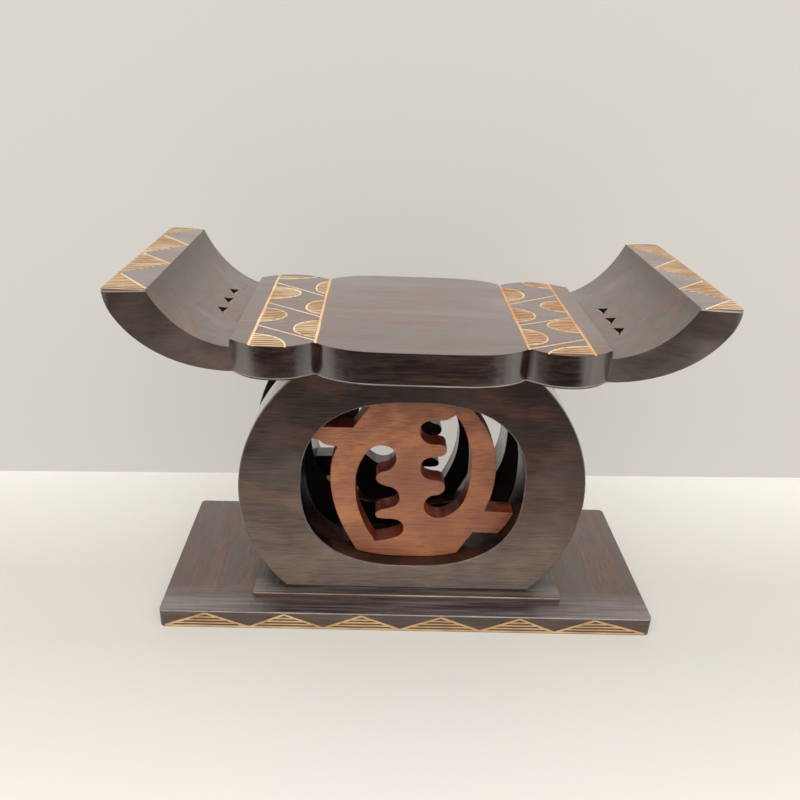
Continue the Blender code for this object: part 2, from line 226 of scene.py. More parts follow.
class Nodes:
    """A material's node tree, with a short call for each kind of node used here."""

    def __init__(self, name):
        self.material = bpy.data.materials.new(name)
        self.material.use_nodes = True
        self.tree = self.material.node_tree
        self.shader = self.tree.nodes["Principled BSDF"]
        self.place = self.tree.nodes.new("ShaderNodeTexCoord").outputs["Object"]

    def feed(self, socket, value):
        """Links an output to the socket, or sets its value."""
        if isinstance(value, bpy.types.NodeSocket):
            self.tree.links.new(value, socket)
        else:
            socket.default_value = value

    def axis(self, letter):
        """Where a point is along X, Y or Z."""
        node = self.tree.nodes.new("ShaderNodeSeparateXYZ")
        self.feed(node.inputs["Vector"], self.place)
        return node.outputs[letter]

    def noise(self, stretch, detail=4.0, rough=0.55, warp=0.0):
        """Noise whose grains are 1/stretch metres along each axis."""
        mapping = self.tree.nodes.new("ShaderNodeMapping")
        mapping.inputs["Scale"].default_value = stretch
        self.feed(mapping.inputs["Vector"], self.place)
        node = self.tree.nodes.new("ShaderNodeTexNoise")
        node.inputs["Scale"].default_value = 1.0
        node.inputs["Detail"].default_value = detail
        node.inputs["Roughness"].default_value = rough
        node.inputs["Distortion"].default_value = warp
        self.feed(node.inputs["Vector"], mapping.outputs["Vector"])
        return node.outputs["Fac"]

    def span(self, value, low, high, start=0.0, end=1.0):
        """Values from low to high become start to end, and stop there."""
        node = self.tree.nodes.new("ShaderNodeMapRange")
        for socket, number in zip(node.inputs, (value, low, high, start, end)):
            self.feed(socket, number)
        return node.outputs["Result"]

    def maths(self, operation, a, b):
        """One operation on two values, such as ADD."""
        node = self.tree.nodes.new("ShaderNodeMath")
        node.operation = operation
        self.feed(node.inputs[0], a)
        self.feed(node.inputs[1], b)
        return node.outputs["Value"]

    def weigh(self, a, a_share, b, b_share):
        """The sum of two values, each times its share."""
        return self.maths("ADD", self.maths("MULTIPLY", a, a_share), self.maths("MULTIPLY", b, b_share))

    def blend(self, share, a, b, kind="MIX"):
        """From colour a to colour b, as far as share says."""
        node = self.tree.nodes.new("ShaderNodeMix")
        node.data_type = "RGBA"
        node.blend_type = kind
        self.feed(node.inputs["Factor"], share)
        self.feed(node.inputs["A"], (*a, 1.0) if isinstance(a, tuple) else a)
        self.feed(node.inputs["B"], (*b, 1.0) if isinstance(b, tuple) else b)
        return node.outputs["Result"]

    def mix_shaders(self, share, a, b):
        """From shader a to shader b, as far as share says."""
        node = self.tree.nodes.new("ShaderNodeMixShader")
        for socket, value in zip(node.inputs, (share, a, b)):
            self.feed(socket, value)
        return node.outputs["Shader"]

    def bump(self, height, distance, strength=1.0, under=None):
        """The surface's direction where height raises it by up to distance, on top of another bump."""
        node = self.tree.nodes.new("ShaderNodeBump")
        node.inputs["Strength"].default_value = strength
        node.inputs["Distance"].default_value = distance
        self.feed(node.inputs["Height"], height)
        if under is not None:
            self.feed(node.inputs["Normal"], under)
        return node.outputs["Normal"]


def tinted(colour, factor):
    """Each part of a colour, or of a fineness, times its own factor."""
    return tuple(a * b for a, b in zip(colour, factor))


def polished_wood(
    name, deep, mid, thin, rough, gloss,
    fibre=(16, 240, 240), fleck=(45, 420, 420), patch=(7, 22, 22), waves=(24, 24, 24),
    relief=0.0006, grit=0.00012, low_light_colour=None, fade=(-0.03, 0.19), edge_sheen_colour=None, cool=None,
    index=1.5, right=None, thin_from=0.50, uneven=1.0, edge_from=(0.076, 0.102),
):
    """Stained wood with its grain along X: deep and mid stain in streaks, thin stain in patches.

    fibre, fleck, patch and waves are the fineness of its streaks, specks, patches and swell. relief
    and grit are the heights of the swell and the streaks, and uneven is how much the polish varies.
    low_light_colour is the deep, mid and thin colour it fades to between the two heights of fade, downwards:
    painted light, a lighter reflection on the lower part. With an edge_sheen_colour the wood is brushed
    along Y, but for its front edge, which has that colour as a painted sheen and starts between the two
    distances of edge_from. cool is a tone it has in places, and right is what its colour is multiplied by
    on the upper right."""
    made = Nodes(name)
    streak = made.noise(fibre, detail=5.0, rough=0.6, warp=0.4)
    specks = made.noise(fleck, detail=3.0, rough=0.6)
    cloud = made.noise(patch, detail=3.0, rough=0.55, warp=0.6)
    swell = made.noise(waves, detail=1.0)
    near_edge = None
    if edge_sheen_colour is not None:
        brushed = made.noise((fibre[1], fibre[0], fibre[2]), detail=5.0, rough=0.6, warp=0.4)
        front = made.maths("SUBTRACT", made.maths("MULTIPLY", swell, EDGE_SHIFT), made.axis("Y"))
        near_edge = made.span(front, *edge_from)
        outer = made.span(made.maths("ABSOLUTE", made.axis("X"), 0.0), *STRIP_SIDES_X, *STRIP_SIDES_SHADE)
        edge_shade = made.span(made.maths("ADD", streak, outer), *EDGE_STREAK_TURN)
        streak = made.span(near_edge, 0.0, 1.0, brushed, streak)
    shade = made.span(streak, *STREAK_TURN)
    colour = made.blend(shade, deep, mid)
    if cool is not None:
        drift = made.noise(tinted(patch, COOL_FINENESS), detail=2.0)
        colour = made.blend(made.span(drift, *COOL_TURN, 0.0, COOL_SHARE), colour, cool)
    bare = made.maths("MULTIPLY", cloud, made.maths("ADD", specks, 0.5))
    thin_share = made.span(bare, thin_from, thin_from + THIN_TURN, 0.0, THIN_SHARE)
    dark_share = made.span(specks, *SPECK_TURN, 0.0, SPECK_SHARE)
    colour = made.blend(thin_share, colour, thin)
    # painted sheen: the front strip takes a lighter grey colour
    if near_edge is not None:
        colour = made.blend(near_edge, colour, made.blend(edge_shade, *edge_sheen_colour))
    colour = made.blend(dark_share, colour, deep)
    # painted light: the lower part fades to a lighter colour, as a painted reflection
    if low_light_colour is not None:
        low_deep, low_mid, low_thin = low_light_colour
        level = made.maths("SUBTRACT", made.axis("Z"), made.maths("MULTIPLY", swell, LOW_SHIFT))
        faded = made.blend(thin_share, made.blend(shade, low_deep, low_mid), low_thin)
        faded = made.blend(dark_share, faded, low_deep)
        colour = made.blend(made.span(level, *fade, 1.0, 0.0), colour, faded)
    if right is not None:
        beside = made.span(made.axis("X"), *RIGHT_X)
        above = made.span(made.axis("Z"), *RIGHT_Z)
        colour = made.blend(made.maths("MULTIPLY", beside, above), colour, right, "MULTIPLY")
    made.feed(made.shader.inputs["Base Color"], colour)
    smooth = rough - SMOOTHER * uneven
    dull = rough + ROUGHER * uneven
    polish = made.span(made.weigh(streak, 0.6, cloud, 0.4), *POLISH_TURN, smooth, dull)
    made.feed(made.shader.inputs["Roughness"], polish)
    made.shader.inputs["Specular IOR Level"].default_value = gloss
    made.shader.inputs["IOR"].default_value = index
    waved = made.bump(swell, relief)
    made.feed(made.shader.inputs["Normal"], made.bump(streak, grit, 1.0, waved))
    return made.material


def raw_wood(name, pale, tan, right=None):
    """Bare wood in the bottom of a cut, pale in places and tan in others. right is what its colour
    is multiplied by on the right of the seat, and less so on its tip."""
    made = Nodes(name)
    streak = made.noise((60, 700, 700))
    cloud = made.noise((28, 28, 28), detail=2.0)
    share = made.span(made.weigh(streak, 0.4, cloud, 0.6), *RAW_TURN)
    colour = made.blend(share, pale, tan)
    if right is not None:
        browner = made.blend(share, tinted(pale, right), tinted(tan, right))
        rightward = made.span(made.axis("X"), *RAW_RIGHT_X)
        before_tip = made.span(made.axis("X"), *RAW_TIP_X, 1.0, RAW_TIP_SHARE)
        colour = made.blend(made.maths("MULTIPLY", rightward, before_tip), colour, browner)
    made.feed(made.shader.inputs["Base Color"], colour)
    made.shader.inputs["Roughness"].default_value = 0.75
    made.feed(made.shader.inputs["Normal"], made.bump(streak, 0.0002, 0.7))
    return made.material


seat_wood = polished_wood(
    "seat_wood", (0.022, 0.011, 0.007), (0.102, 0.053, 0.035), (0.190, 0.080, 0.048), 0.36, 0.58,
    fibre=(7, 380, 380), fleck=(40, 700, 700), patch=(6, 20, 20), grit=0.00018,
)
dish_wood = polished_wood(
    "dish_wood", (0.052, 0.034, 0.025), (0.096, 0.065, 0.048), (0.160, 0.088, 0.058), 0.40, 0.58,
    fibre=(70, 140, 90), fleck=(300, 420, 420), patch=(14, 22, 22),
)
edge_wood = polished_wood(
    "edge_wood", (0.010, 0.0050, 0.0043), (0.030, 0.0150, 0.0117), (0.085, 0.036, 0.020), 0.20, 1.0,
    fibre=(34, 420, 420), fleck=(80, 800, 800), patch=(16, 60, 60), waves=(60, 60, 8), relief=0.0010,
    grit=0.00002, index=1.7, uneven=0.5,
)
# lighter low down, and lighter and greyer on the upper right: painted reflections of the floor and of light
# from the right
side_wood = polished_wood(
    "side_wood", (0.025, 0.014, 0.012), (0.040, 0.023, 0.018), (0.075, 0.038, 0.027), 0.31, 0.95,
    fibre=(26, 420, 420), fleck=(90, 700, 700), patch=(14, 45, 45), relief=0.0003, grit=0.00001, uneven=0.25,
    low_light_colour=((0.088, 0.063, 0.054), (0.112, 0.080, 0.068), (0.140, 0.093, 0.074)), fade=(0.235, 0.295),
    right=(1.20, 1.34, 1.42),
)
# the base's front strip is a grey painted sheen
base_wood = polished_wood(
    "base_wood", (0.038, 0.019, 0.012), (0.094, 0.050, 0.033), (0.185, 0.098, 0.058), 0.37, 0.53,
    fibre=(10, 300, 300), fleck=(300, 40, 420), patch=(55, 4, 22), thin_from=0.53,
    edge_sheen_colour=((0.040, 0.026, 0.026), (0.215, 0.180, 0.178)),
)
# the step's front strip is a grey painted sheen
step_wood = polished_wood(
    "step_wood", (0.010, 0.0070, 0.0065), (0.038, 0.028, 0.026), (0.075, 0.052, 0.045), 0.30, 0.50,
    fibre=(8, 330, 330), fleck=(60, 420, 420), patch=(5, 120, 120), relief=0.0003,
    edge_sheen_colour=((0.050, 0.036, 0.033), (0.190, 0.150, 0.140)), edge_from=(0.070, 0.084),
)
base_face_wood = polished_wood(
    "base_face_wood", (0.074, 0.050, 0.040), (0.112, 0.080, 0.064), (0.155, 0.110, 0.082), 0.42, 0.40,
    fibre=(18, 260, 260), fleck=(50, 420, 420), patch=(8, 40, 40), relief=0.0003,
)
# lighter towards the bottom: a painted reflection of the floor in front
ring_wood = polished_wood(
    "ring_wood", (0.013, 0.0066, 0.0056), (0.046, 0.0230, 0.0175), (0.115, 0.048, 0.026), 0.36, 0.36,
    fibre=(32, 720, 720), fleck=(70, 900, 900), patch=(13, 26, 26), cool=(0.044, 0.036, 0.036),
    low_light_colour=((0.132, 0.097, 0.080), (0.225, 0.177, 0.149), (0.280, 0.190, 0.144)), grit=0.00020,
    right=(0.82, 0.68, 0.61), fade=(-0.03, 0.155),
)
ring_side_wood = polished_wood(
    "ring_side_wood", (0.014, 0.008, 0.007), (0.050, 0.030, 0.024), (0.105, 0.052, 0.036), 0.22, 1.0,
    fibre=(36, 36, 200), grit=0.00003, index=1.7,
)
# redder and lighter at the bottom of the hole: a painted reflection
hole_wood = polished_wood(
    "hole_wood", (0.0030, 0.0020, 0.0020), (0.007, 0.004, 0.0035), (0.040, 0.010, 0.006), 0.28, 0.28,
    fibre=(12, 20, 20), fleck=(20, 30, 30), grit=0.00002, relief=0.0004,
    low_light_colour=((0.026, 0.0105, 0.0070), (0.064, 0.027, 0.018), (0.120, 0.045, 0.026)), fade=(-0.005, 0.030),
)
# near black: painted shade on the faces that look into the gap between the rings
inner_shade_wood = polished_wood(
    "inner_shade_wood", (0.0025, 0.0015, 0.0014), (0.006, 0.003, 0.0025), (0.016, 0.006, 0.004), 0.45, 0.25,
)
# near black: painted shade on the inward faces of the three-cornered cuts
pit_shade_wood = polished_wood(
    "pit_shade_wood", (0.0025, 0.0020, 0.0020), (0.007, 0.0050, 0.0045), (0.016, 0.010, 0.008), 0.80, 0.05,
)
# lighter and more orange towards the bottom: painted reflected light
symbol_wood = polished_wood(
    "symbol_wood", (0.200, 0.064, 0.032), (0.270, 0.095, 0.047), (0.560, 0.215, 0.080), 0.32, 0.50,
    fibre=(26, 560, 560), fleck=(90, 900, 900), patch=(11, 17, 17), waves=(45, 45, 45), relief=0.0008,
    cool=(0.155, 0.052, 0.030), fade=(-0.02, 0.17), thin_from=0.44, right=(0.74, 0.66, 0.62),
    low_light_colour=((0.275, 0.097, 0.048), (0.360, 0.138, 0.068), (0.580, 0.230, 0.092)),
)
slot_wood = polished_wood(
    "slot_wood", (0.060, 0.008, 0.004), (0.165, 0.024, 0.011), (0.370, 0.078, 0.028), 0.34, 0.20,
    fibre=(25, 25, 25), fleck=(40, 40, 40), patch=(30, 30, 30), grit=0.00002,
)
# near black: painted shade on the walls of the rear panel's slots
shaded_slot_wood = polished_wood(
    "shaded_slot_wood", (0.006, 0.0018, 0.0014), (0.014, 0.004, 0.0025), (0.040, 0.011, 0.007), 0.30, 0.30,
    fibre=(25, 25, 25), fleck=(40, 40, 40), patch=(30, 30, 30), grit=0.00002,
)
# orange-brown: a worn edge, made lighter with a painted highlight
wear_and_highlight_wood = polished_wood(
    "wear_and_highlight_wood", (0.260, 0.150, 0.100), (0.540, 0.370, 0.260), (0.780, 0.580, 0.420), 0.36, 0.8,
    fibre=(20, 120, 120),
)
# pale grey: a painted highlight on the seat's rounded edges
seat_edge_highlight_wood = polished_wood(
    "seat_edge_highlight_wood", (0.180, 0.152, 0.138), (0.350, 0.305, 0.275), (0.520, 0.450, 0.400), 0.34, 0.9,
    fibre=(30, 120, 120),
)
# pale grey: a painted highlight on the rounded top edges of the base and the step
board_edge_highlight_wood = polished_wood(
    "board_edge_highlight_wood", (0.220, 0.185, 0.180), (0.420, 0.375, 0.370), (0.560, 0.500, 0.490), 0.30, 1.0,
    fibre=(24, 120, 120),
)
# a painted highlight on the rounded edges of the rings
ring_edge_highlight_wood = polished_wood(
    "ring_edge_highlight_wood", (0.060, 0.048, 0.042), (0.150, 0.128, 0.114), (0.280, 0.240, 0.210), 0.34, 0.8,
    fibre=(30, 60, 60),
)
line_wood = raw_wood("line_wood", (0.93, 0.76, 0.50), (0.86, 0.48, 0.22), right=(0.84, 0.70, 0.54))
rim_wood = raw_wood("rim_wood", (0.95, 0.85, 0.62), (0.82, 0.60, 0.36), right=(0.90, 0.82, 0.72))
thin_cut_wood = raw_wood("thin_cut_wood", (0.58, 0.40, 0.30), (0.36, 0.22, 0.16))
hatch_wood = raw_wood("hatch_wood", (0.76, 0.585, 0.37), (0.54, 0.34, 0.185), right=(0.92, 0.78, 0.70))
ridge_wood = raw_wood("ridge_wood", (0.19, 0.108, 0.070), (0.105, 0.056, 0.036))
gold_wood = raw_wood("gold_wood", (0.76, 0.53, 0.28), (0.55, 0.34, 0.15))
chip_wood = raw_wood("chip_wood", (0.46, 0.34, 0.22), (0.34, 0.24, 0.15))
peg_wood = raw_wood("peg_wood", (0.50, 0.34, 0.18), (0.42, 0.26, 0.12))


def even_copy(node):
    """A copy of a CAD node's shape, its flat faces each joined into one on either side of x = 0."""
    work = bmesh.new()
    work.from_mesh(nodes[node].data)
    for layer in list(work.loops.layers.uv):
        work.loops.layers.uv.remove(layer)
    bmesh.ops.remove_doubles(work, verts=work.verts, dist=TINY)
    bmesh.ops.bisect_plane(
        work, geom=[*work.verts, *work.edges, *work.faces],
        plane_co=(0, 0, 0), plane_no=(1, 0, 0), dist=TINY,
    )
    for edge in work.edges:
        edge.seam = max(abs(vert.co.x) for vert in edge.verts) < 2 * TINY
    bmesh.ops.dissolve_limit(
        work, angle_limit=JOIN_ANGLE, verts=work.verts, edges=work.edges, delimit={"SEAM"},
    )
    mesh = bpy.data.meshes.new(f"{node}_dressed")
    work.to_mesh(mesh)
    work.free()
    for name in ("custom_normal", "sharp_face", "sharp_edge"):
        if name in mesh.attributes:
            mesh.attributes.remove(mesh.attributes[name])
    return mesh


def unevenness(face):
    """How far a face's corners are off its plane."""
    start = face.verts[0].co
    return max(abs((vert.co - start).dot(face.normal)) for vert in face.verts)


def outward_at(vert, facing):
    """The way out at a corner, across facing. The slope of a wing's dish doesn't count."""
    out = Vector((0.0, 0.0, 0.0))
    for face in vert.link_faces:
        across = face.normal - facing * face.normal.dot(facing)
        in_dish = facing.z > 0 and face.normal.x * vert.co.x < 0 and abs(face.normal.x) > DISH_SLOPE
        if across.length > SIDE_SLOPE and not in_dish:
            out += across.normalized() * face.calc_area()
    return out


def round_over(mesh, facing, level, radius, chosen=None):
    """Rounds the edges of the flat face that looks along facing and lies at a level along it."""
    work = bmesh.new()
    work.from_mesh(mesh)
    facing = Vector(facing)
    for i in range(ROUND_PARTS):
        drop = radius * (1 - math.sin(math.pi / 2 * i / ROUND_PARTS))
        bmesh.ops.bisect_plane(
            work, geom=[*work.verts, *work.edges, *work.faces],
            plane_co=facing * (level - drop), plane_no=facing, dist=TINY,
        )
    moves = []
    for vert in work.verts:
        drop = abs(level - vert.co.dot(facing))
        if drop >= radius or (chosen is not None and not chosen(vert.co)):
            continue
        out = outward_at(vert, facing)
        if out.length > 0:
            moves.append((vert, out.normalized() * (radius - math.sqrt(radius**2 - (radius - drop) ** 2))))

    # the flat face is taken off, its outline moved, and a new one laid in
    flat = {
        face for face in work.faces
        if all(abs(vert.co.dot(facing) - level) < TINY for vert in face.verts)
    }
    outline = [edge for edge in work.edges if sum(face in flat for face in edge.link_faces) == 1]
    bmesh.ops.delete(work, geom=list(flat), context="FACES")
    for vert, move in moves:
        if vert.is_valid:
            vert.co -= move
    filled = bmesh.ops.triangle_fill(work, use_beauty=True, edges=outline, normal=facing)
    work.normal_update()
    for face in filled["geom"]:
        if isinstance(face, bmesh.types.BMFace) and face.normal.dot(facing) < 0:
            face.normal_flip()
    bent = [face for face in work.faces if len(face.verts) > 3 and unevenness(face) > TINY / 10]
    bmesh.ops.triangulate(work, faces=bent)
    work.to_mesh(mesh)
    work.free()


def at_rim(node):
    """Tells whether a point is near the outer edge of a board."""
    low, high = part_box(node)
    return lambda at: (
        min(at.x - low[0], high[0] - at.x) < BOARD_RIM or min(at.y - low[1], high[1] - at.y) < BOARD_RIM
    )


def flat_top(level):
    """Lays (across, deep, up) on a level face."""
    return lambda u, v, w: (u, v, level + w)


def flat_side(side):
    """Lays (across, high, out) on the front (-1) or rear (1) edge of the base."""
    return lambda u, v, w: (u, side * (BASE_FACE_Y + w), v)


def channel(work, points, width, depth, place):
    """A knife's cut along the points: a trough wider at the top, which also stands clear of the face.
    It is a little wider or narrower from point to point."""
    half = width / 2
    section = (
        (-half * MOUTH_SHARE, depth * CLEAR_SHARE),
        (-half * FLOOR_SHARE, -depth),
        (half * FLOOR_SHARE, -depth),
        (half * MOUTH_SHARE, depth * CLEAR_SHARE),
    )
    rings = []
    flat = [Vector(p) for p in points]
    for i, here in enumerate(flat):
        before = (here - flat[i - 1]).normalized() if i else None
        after = (flat[i + 1] - here).normalized() if i + 1 < len(flat) else None
        along = (before or after) + (after or before)
        along.normalize()
        side = Vector((-along.y, along.x))
        turn = max(SHARPEST_TURN, along.dot(after or before))
        stretch = rng.uniform(1 - WIDTH_SHAKE, 1 + WIDTH_SHAKE) / turn
        rings.append([
            work.verts.new(place(*(here + side * (across * stretch)), up))
            for across, up in section
        ])
    for one, two in zip(rings, rings[1:]):
        for i in range(len(section)):
            j = (i + 1) % len(section)
            work.faces.new((one[i], one[j], two[j], two[i]))
    work.faces.new(rings[0])
    work.faces.new(reversed(rings[-1]))


def cut(mesh, channels, material):
    """The mesh with a set of channels cut out of it. Their faces take the material."""
    work = bmesh.new()
    for points, width, depth, place in channels:
        channel(work, points, width, depth, place)
    bmesh.ops.recalc_face_normals(work, faces=work.faces)
    tool_mesh = bpy.data.meshes.new("tool")
    work.to_mesh(tool_mesh)
    work.free()
    tool_mesh.materials.append(material)
    tool = bpy.data.objects.new("tool", tool_mesh)
    body = bpy.data.objects.new("body", mesh)
    scene.collection.objects.link(tool)
    scene.collection.objects.link(body)
    step = body.modifiers.new("cut", "BOOLEAN")
    step.operation = "DIFFERENCE"
    step.solver = "EXACT"
    step.material_mode = "TRANSFER"
    step.object = tool
    bpy.context.view_layer.update()
    made = bpy.data.meshes.new_from_object(body.evaluated_get(bpy.context.evaluated_depsgraph_get()))
    bpy.data.objects.remove(tool)
    bpy.data.objects.remove(body)
    return made


def give_woods(mesh, *woods):
    """Gives the mesh its woods. The first is what a face has unless it is given another."""
    mesh.materials.clear()
    for wood in woods:
        mesh.materials.append(wood)


def finish_piece(mesh, name, node, pick):
    """Shades the mesh, gives each face its material and puts the piece in the CAD node's place."""
    work = bmesh.new()
    work.from_mesh(mesh)
    for face in work.faces:
        chosen = pick(face)
        if chosen is not None:
            face.material_index = mesh.materials.find(chosen.name)
        face.smooth = max(abs(part) for part in face.normal) < STRAIGHT
    for edge in work.edges:
        edge.smooth = edge.calc_face_angle(0.0) < SHARP_ANGLE
    work.to_mesh(mesh)
    work.free()
    mesh.name = name
    piece = bpy.data.objects.new(name, mesh)
    scene.collection.objects.link(piece)
    shading = piece.modifiers.new("even_shading", "WEIGHTED_NORMAL")
    shading.keep_sharp = True
    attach(piece, "root")
    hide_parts(node)


def shaky(value, spread):
    """A value as an unsteady hand makes it."""
    return value + rng.uniform(-spread, spread)


def bow(base_x, tip_x, middle_y, half, count=14):
    """The outline of a half oval that stands on a line at base_x and reaches to tip_x."""
    points = []
    for i in range(count + 1):
        angle = math.pi * i / count
        points.append((base_x + (tip_x - base_x) * math.sin(angle), middle_y - half * math.cos(angle)))
    return points


# each half oval on a band: (middle in y, half its length along the line, reach from the line)
LEFT_INNER_OVALS = ((0.0655, 0.0215, 0.0125), (0.000, 0.0205, 0.0170), (-0.0625, 0.0210, 0.0225))
LEFT_OUTER_OVALS = (
    (0.1125, 0.0200, 0.0450), (0.0420, 0.0195, 0.0300), (-0.0280, 0.0190, 0.0235), (-0.1110, 0.0300, 0.0320),
)
RIGHT_INNER_OVALS = ((0.0640, 0.0215, 0.0215), (-0.0050, 0.0190, 0.0215), (-0.0670, 0.0200, 0.0220))
RIGHT_OUTER_OVALS = (
    (0.1130, 0.0230, 0.0300), (0.0265, 0.0175, 0.0240), (-0.0335, 0.0175, 0.0285), (-0.1130, 0.0260, 0.0430),
)

# where the zigzags turn, in y: from line to line on a band, and between the edges of a tip
LEFT_ZIGZAG_Y = (0.097, 0.078, 0.034, 0.009, -0.030, -0.058, -0.093)
RIGHT_ZIGZAG_Y = (0.094, 0.0645, 0.0275, -0.0075, -0.036, -0.069, -0.0975)
LEFT_TIP_Y = (-0.1075, -0.064, -0.0295, 0.0055, 0.041, 0.080, 0.1180)
RIGHT_TIP_Y = (0.1010, 0.0525, 0.0145, -0.0245, -0.056, -0.085, -0.1150)

# each triangle on the base, seen from outside: where its foot starts, its point and where its foot ends
TRIANGLES_X = (
    (-TRIANGLES_END_X, -0.2120, -0.1690),
    (-0.1660, -0.1300, -0.0895),
    (-0.0880, -0.0490, -0.0090),
    (-0.0070, 0.0350, 0.0765),
    (0.0780, 0.1190, 0.1560),
    (0.1580, 0.1990, TRIANGLES_END_X),
)


def edge_y(x):
    """How far the lobed middle of the seat reaches from y = 0 at a place beside the notch."""
    along = min(1.0, max(0.0, abs(x) / MIDDLE_HALF_WIDTH - NOTCH_ALONG) / LOBE_LENGTH)
    bulge = math.sin(math.pi * along) ** LOBE_POWER
    return MIDDLE_HALF_DEPTH * (NOTCH_REACH + (LOBE_REACH - NOTCH_REACH) * bulge)


def bands():
    """Each band: its side, its half ovals as (their line's x, turn, middle, half, reach), its zigzag.
    The turn is 1 for an oval that reaches outwards and -1 for one that reaches inwards."""
    for side, inner, outer, zigzag in (
        (-1, LEFT_INNER_OVALS, LEFT_OUTER_OVALS, LEFT_ZIGZAG_Y),
        (1, RIGHT_INNER_OVALS, RIGHT_OUTER_OVALS, RIGHT_ZIGZAG_Y),
    ):
        ovals = [(BAND_INNER_X, 1, *oval) for oval in inner]
        ovals += [(BAND_OUTER_X, -1, *oval) for oval in outer]
        yield side, ovals, zigzag


def in_oval(x, y):
    """Whether a place on the seat is inside a half oval."""
    for side, ovals, _ in bands():
        for base, turn, middle, half, reach in ovals:
            away = (side * x - base) * turn
            if away > 0 and (away / reach) ** 2 + ((y - middle) / half) ** 2 < 1:
                return True
    return False


def tip_line(corners, y):
    """How far out the zigzag on a tip is at a place along it."""
    ends = (TIP_INNER_X + TIP_CORNER_GAP, TIP_OUTER_X - TIP_CORNER_GAP)
    path = sorted((at, ends[i % 2]) for i, at in enumerate(corners))
    for (y0, x0), (y1, x1) in zip(path, path[1:]):
        if y0 <= y <= y1:
            return x0 + (x1 - x0) * (y - y0) / (y1 - y0)
    return TIP_INNER_X + TIP_FALLBACK_GAP


def hatch_line(near, far, y, place):
    """A cut of the hatching, from near to far at a place along the line, by an unsteady hand."""
    y = shaky(y, HATCH_SHAKE)
    line = [(near, y), (far, shaky(y, HATCH_END_SHAKE))]
    return line, shaky(HATCH_WIDTH, HATCH_SHAKE), HATCH_DEPTH, place


def oval_hatching(side, base, turn, middle, half, reach, place):
    """The cuts across a half oval. Those that would run past the seat's edge are left out."""
    count = int(2 * half / HATCH_PITCH)
    for i in range(1, count):
        y = middle - half + 2 * half * i / count
        long = reach * math.sqrt(1 - ((y - middle) / half) ** 2)
        near = base + turn * HATCH_START_GAP
        far = base + turn * (long - HATCH_END_GAP)
        past_edge = abs(y) > edge_y(far) - HATCH_EDGE_GAP or abs(y) > edge_y(base) + HATCH_EDGE_EXTRA
        if long >= HATCH_SHORTEST and not past_edge:
            yield hatch_line(side * near, side * far, y, place)


def tip_hatching(side, corners, place):
    """The cuts from a tip's zigzag out over its edge. Very short ones are left out."""
    count = int(2 * TIP_HATCH_HALF / HATCH_PITCH)
    for i in range(count):
        y = -TIP_HATCH_HALF + 2 * TIP_HATCH_HALF * i / (count - 1)
        near = tip_line(corners, y)
        if TIP_OUTER_X - near >= TIP_SHORTEST:
            yield hatch_line(side * near, side * (TIP_OUTER_X + TIP_OVERRUN), y, place)


def seat_cuts():
    """Sets of cuts for the seat, each with its wood. In one set no two cuts touch."""
    hatch = []
    rims = []
    pale_lines = []
    thin_lines = []
    lines = []
    top = flat_top(SEAT_TOP_Z)
    for side, ovals, zigzag in bands():
        for base, turn, middle, half, reach in ovals:
            outline = bow(side * base, side * (base + turn * reach), middle, half)
            rims.append((outline, RIM_WIDTH, CUT_DEPTH, top))
            hatch.extend(oval_hatching(side, base, turn, middle, half, reach, top))
        for i, ends in enumerate(zip(zigzag, zigzag[1:])):
            places = (BAND_INNER_X, BAND_OUTER_X) if i % 2 == 0 else (BAND_OUTER_X, BAND_INNER_X)
            line = [(side * x, y) for x, y in zip(places, ends)]
            if i % 2 == 0:
                thin_lines.append((line, THIN_WIDTH, CUT_DEPTH, top))
            else:
                pale_lines.append((line, ZIGZAG_WIDTH, CUT_DEPTH, top))
    tip = flat_top(TIP_Z)
    places = (TIP_INNER_X + TIP_START_GAP, TIP_OUTER_X - TIP_CORNER_GAP)
    for side, corners in ((-1, LEFT_TIP_Y), (1, RIGHT_TIP_Y)):
        at = [(places[i % 2], y) for i, y in enumerate(corners)]
        for (ax, ay), (bx, by) in zip(at, at[1:]):
            line = [(side * ax, ay), (side * bx, by)]
            if (bx - ax) * (by - ay) > 0:
                pale_lines.append((line, ZIGZAG_WIDTH, CUT_DEPTH, tip))
            else:
                thin_lines.append((line, THIN_WIDTH, CUT_DEPTH, tip))
        hatch.extend(tip_hatching(side, corners, tip))
    for side in (-1, 1):
        for x in (BAND_INNER_X, BAND_OUTER_X):
            points = [
                (shaky(side * x, LINE_SHAKE), -LINE_HALF + 2 * LINE_HALF * i / LINE_PARTS)
                for i in range(LINE_PARTS + 1)
            ]
            lines.append((points, LINE_WIDTH, CUT_DEPTH, top))
    return (
        (hatch, hatch_wood), (rims, rim_wood), (thin_lines, thin_cut_wood),
        (pale_lines, rim_wood), (lines, line_wood),
    )


def in_chips(centre):
    """Whether a place is among the three-cornered cuts of a wing."""
    beside = CHIPS_INNER_X < abs(centre.x) < CHIPS_OUTER_X
    return beside and abs(centre.y) < CHIPS_HALF_Y and centre.z > CHIPS_LOW_Z


def on_ridge(centre):
    """Whether a small level face is what is left between two cuts of the hatching."""
    if abs(centre.z - SEAT_TOP_Z) < NEAR and in_oval(centre.x, centre.y):
        return True
    corners = LEFT_TIP_Y if centre.x < 0 else RIGHT_TIP_Y
    return abs(centre.z - TIP_Z) < NEAR and abs(centre.x) > tip_line(corners, centre.y) + TIP_RIDGE_GAP


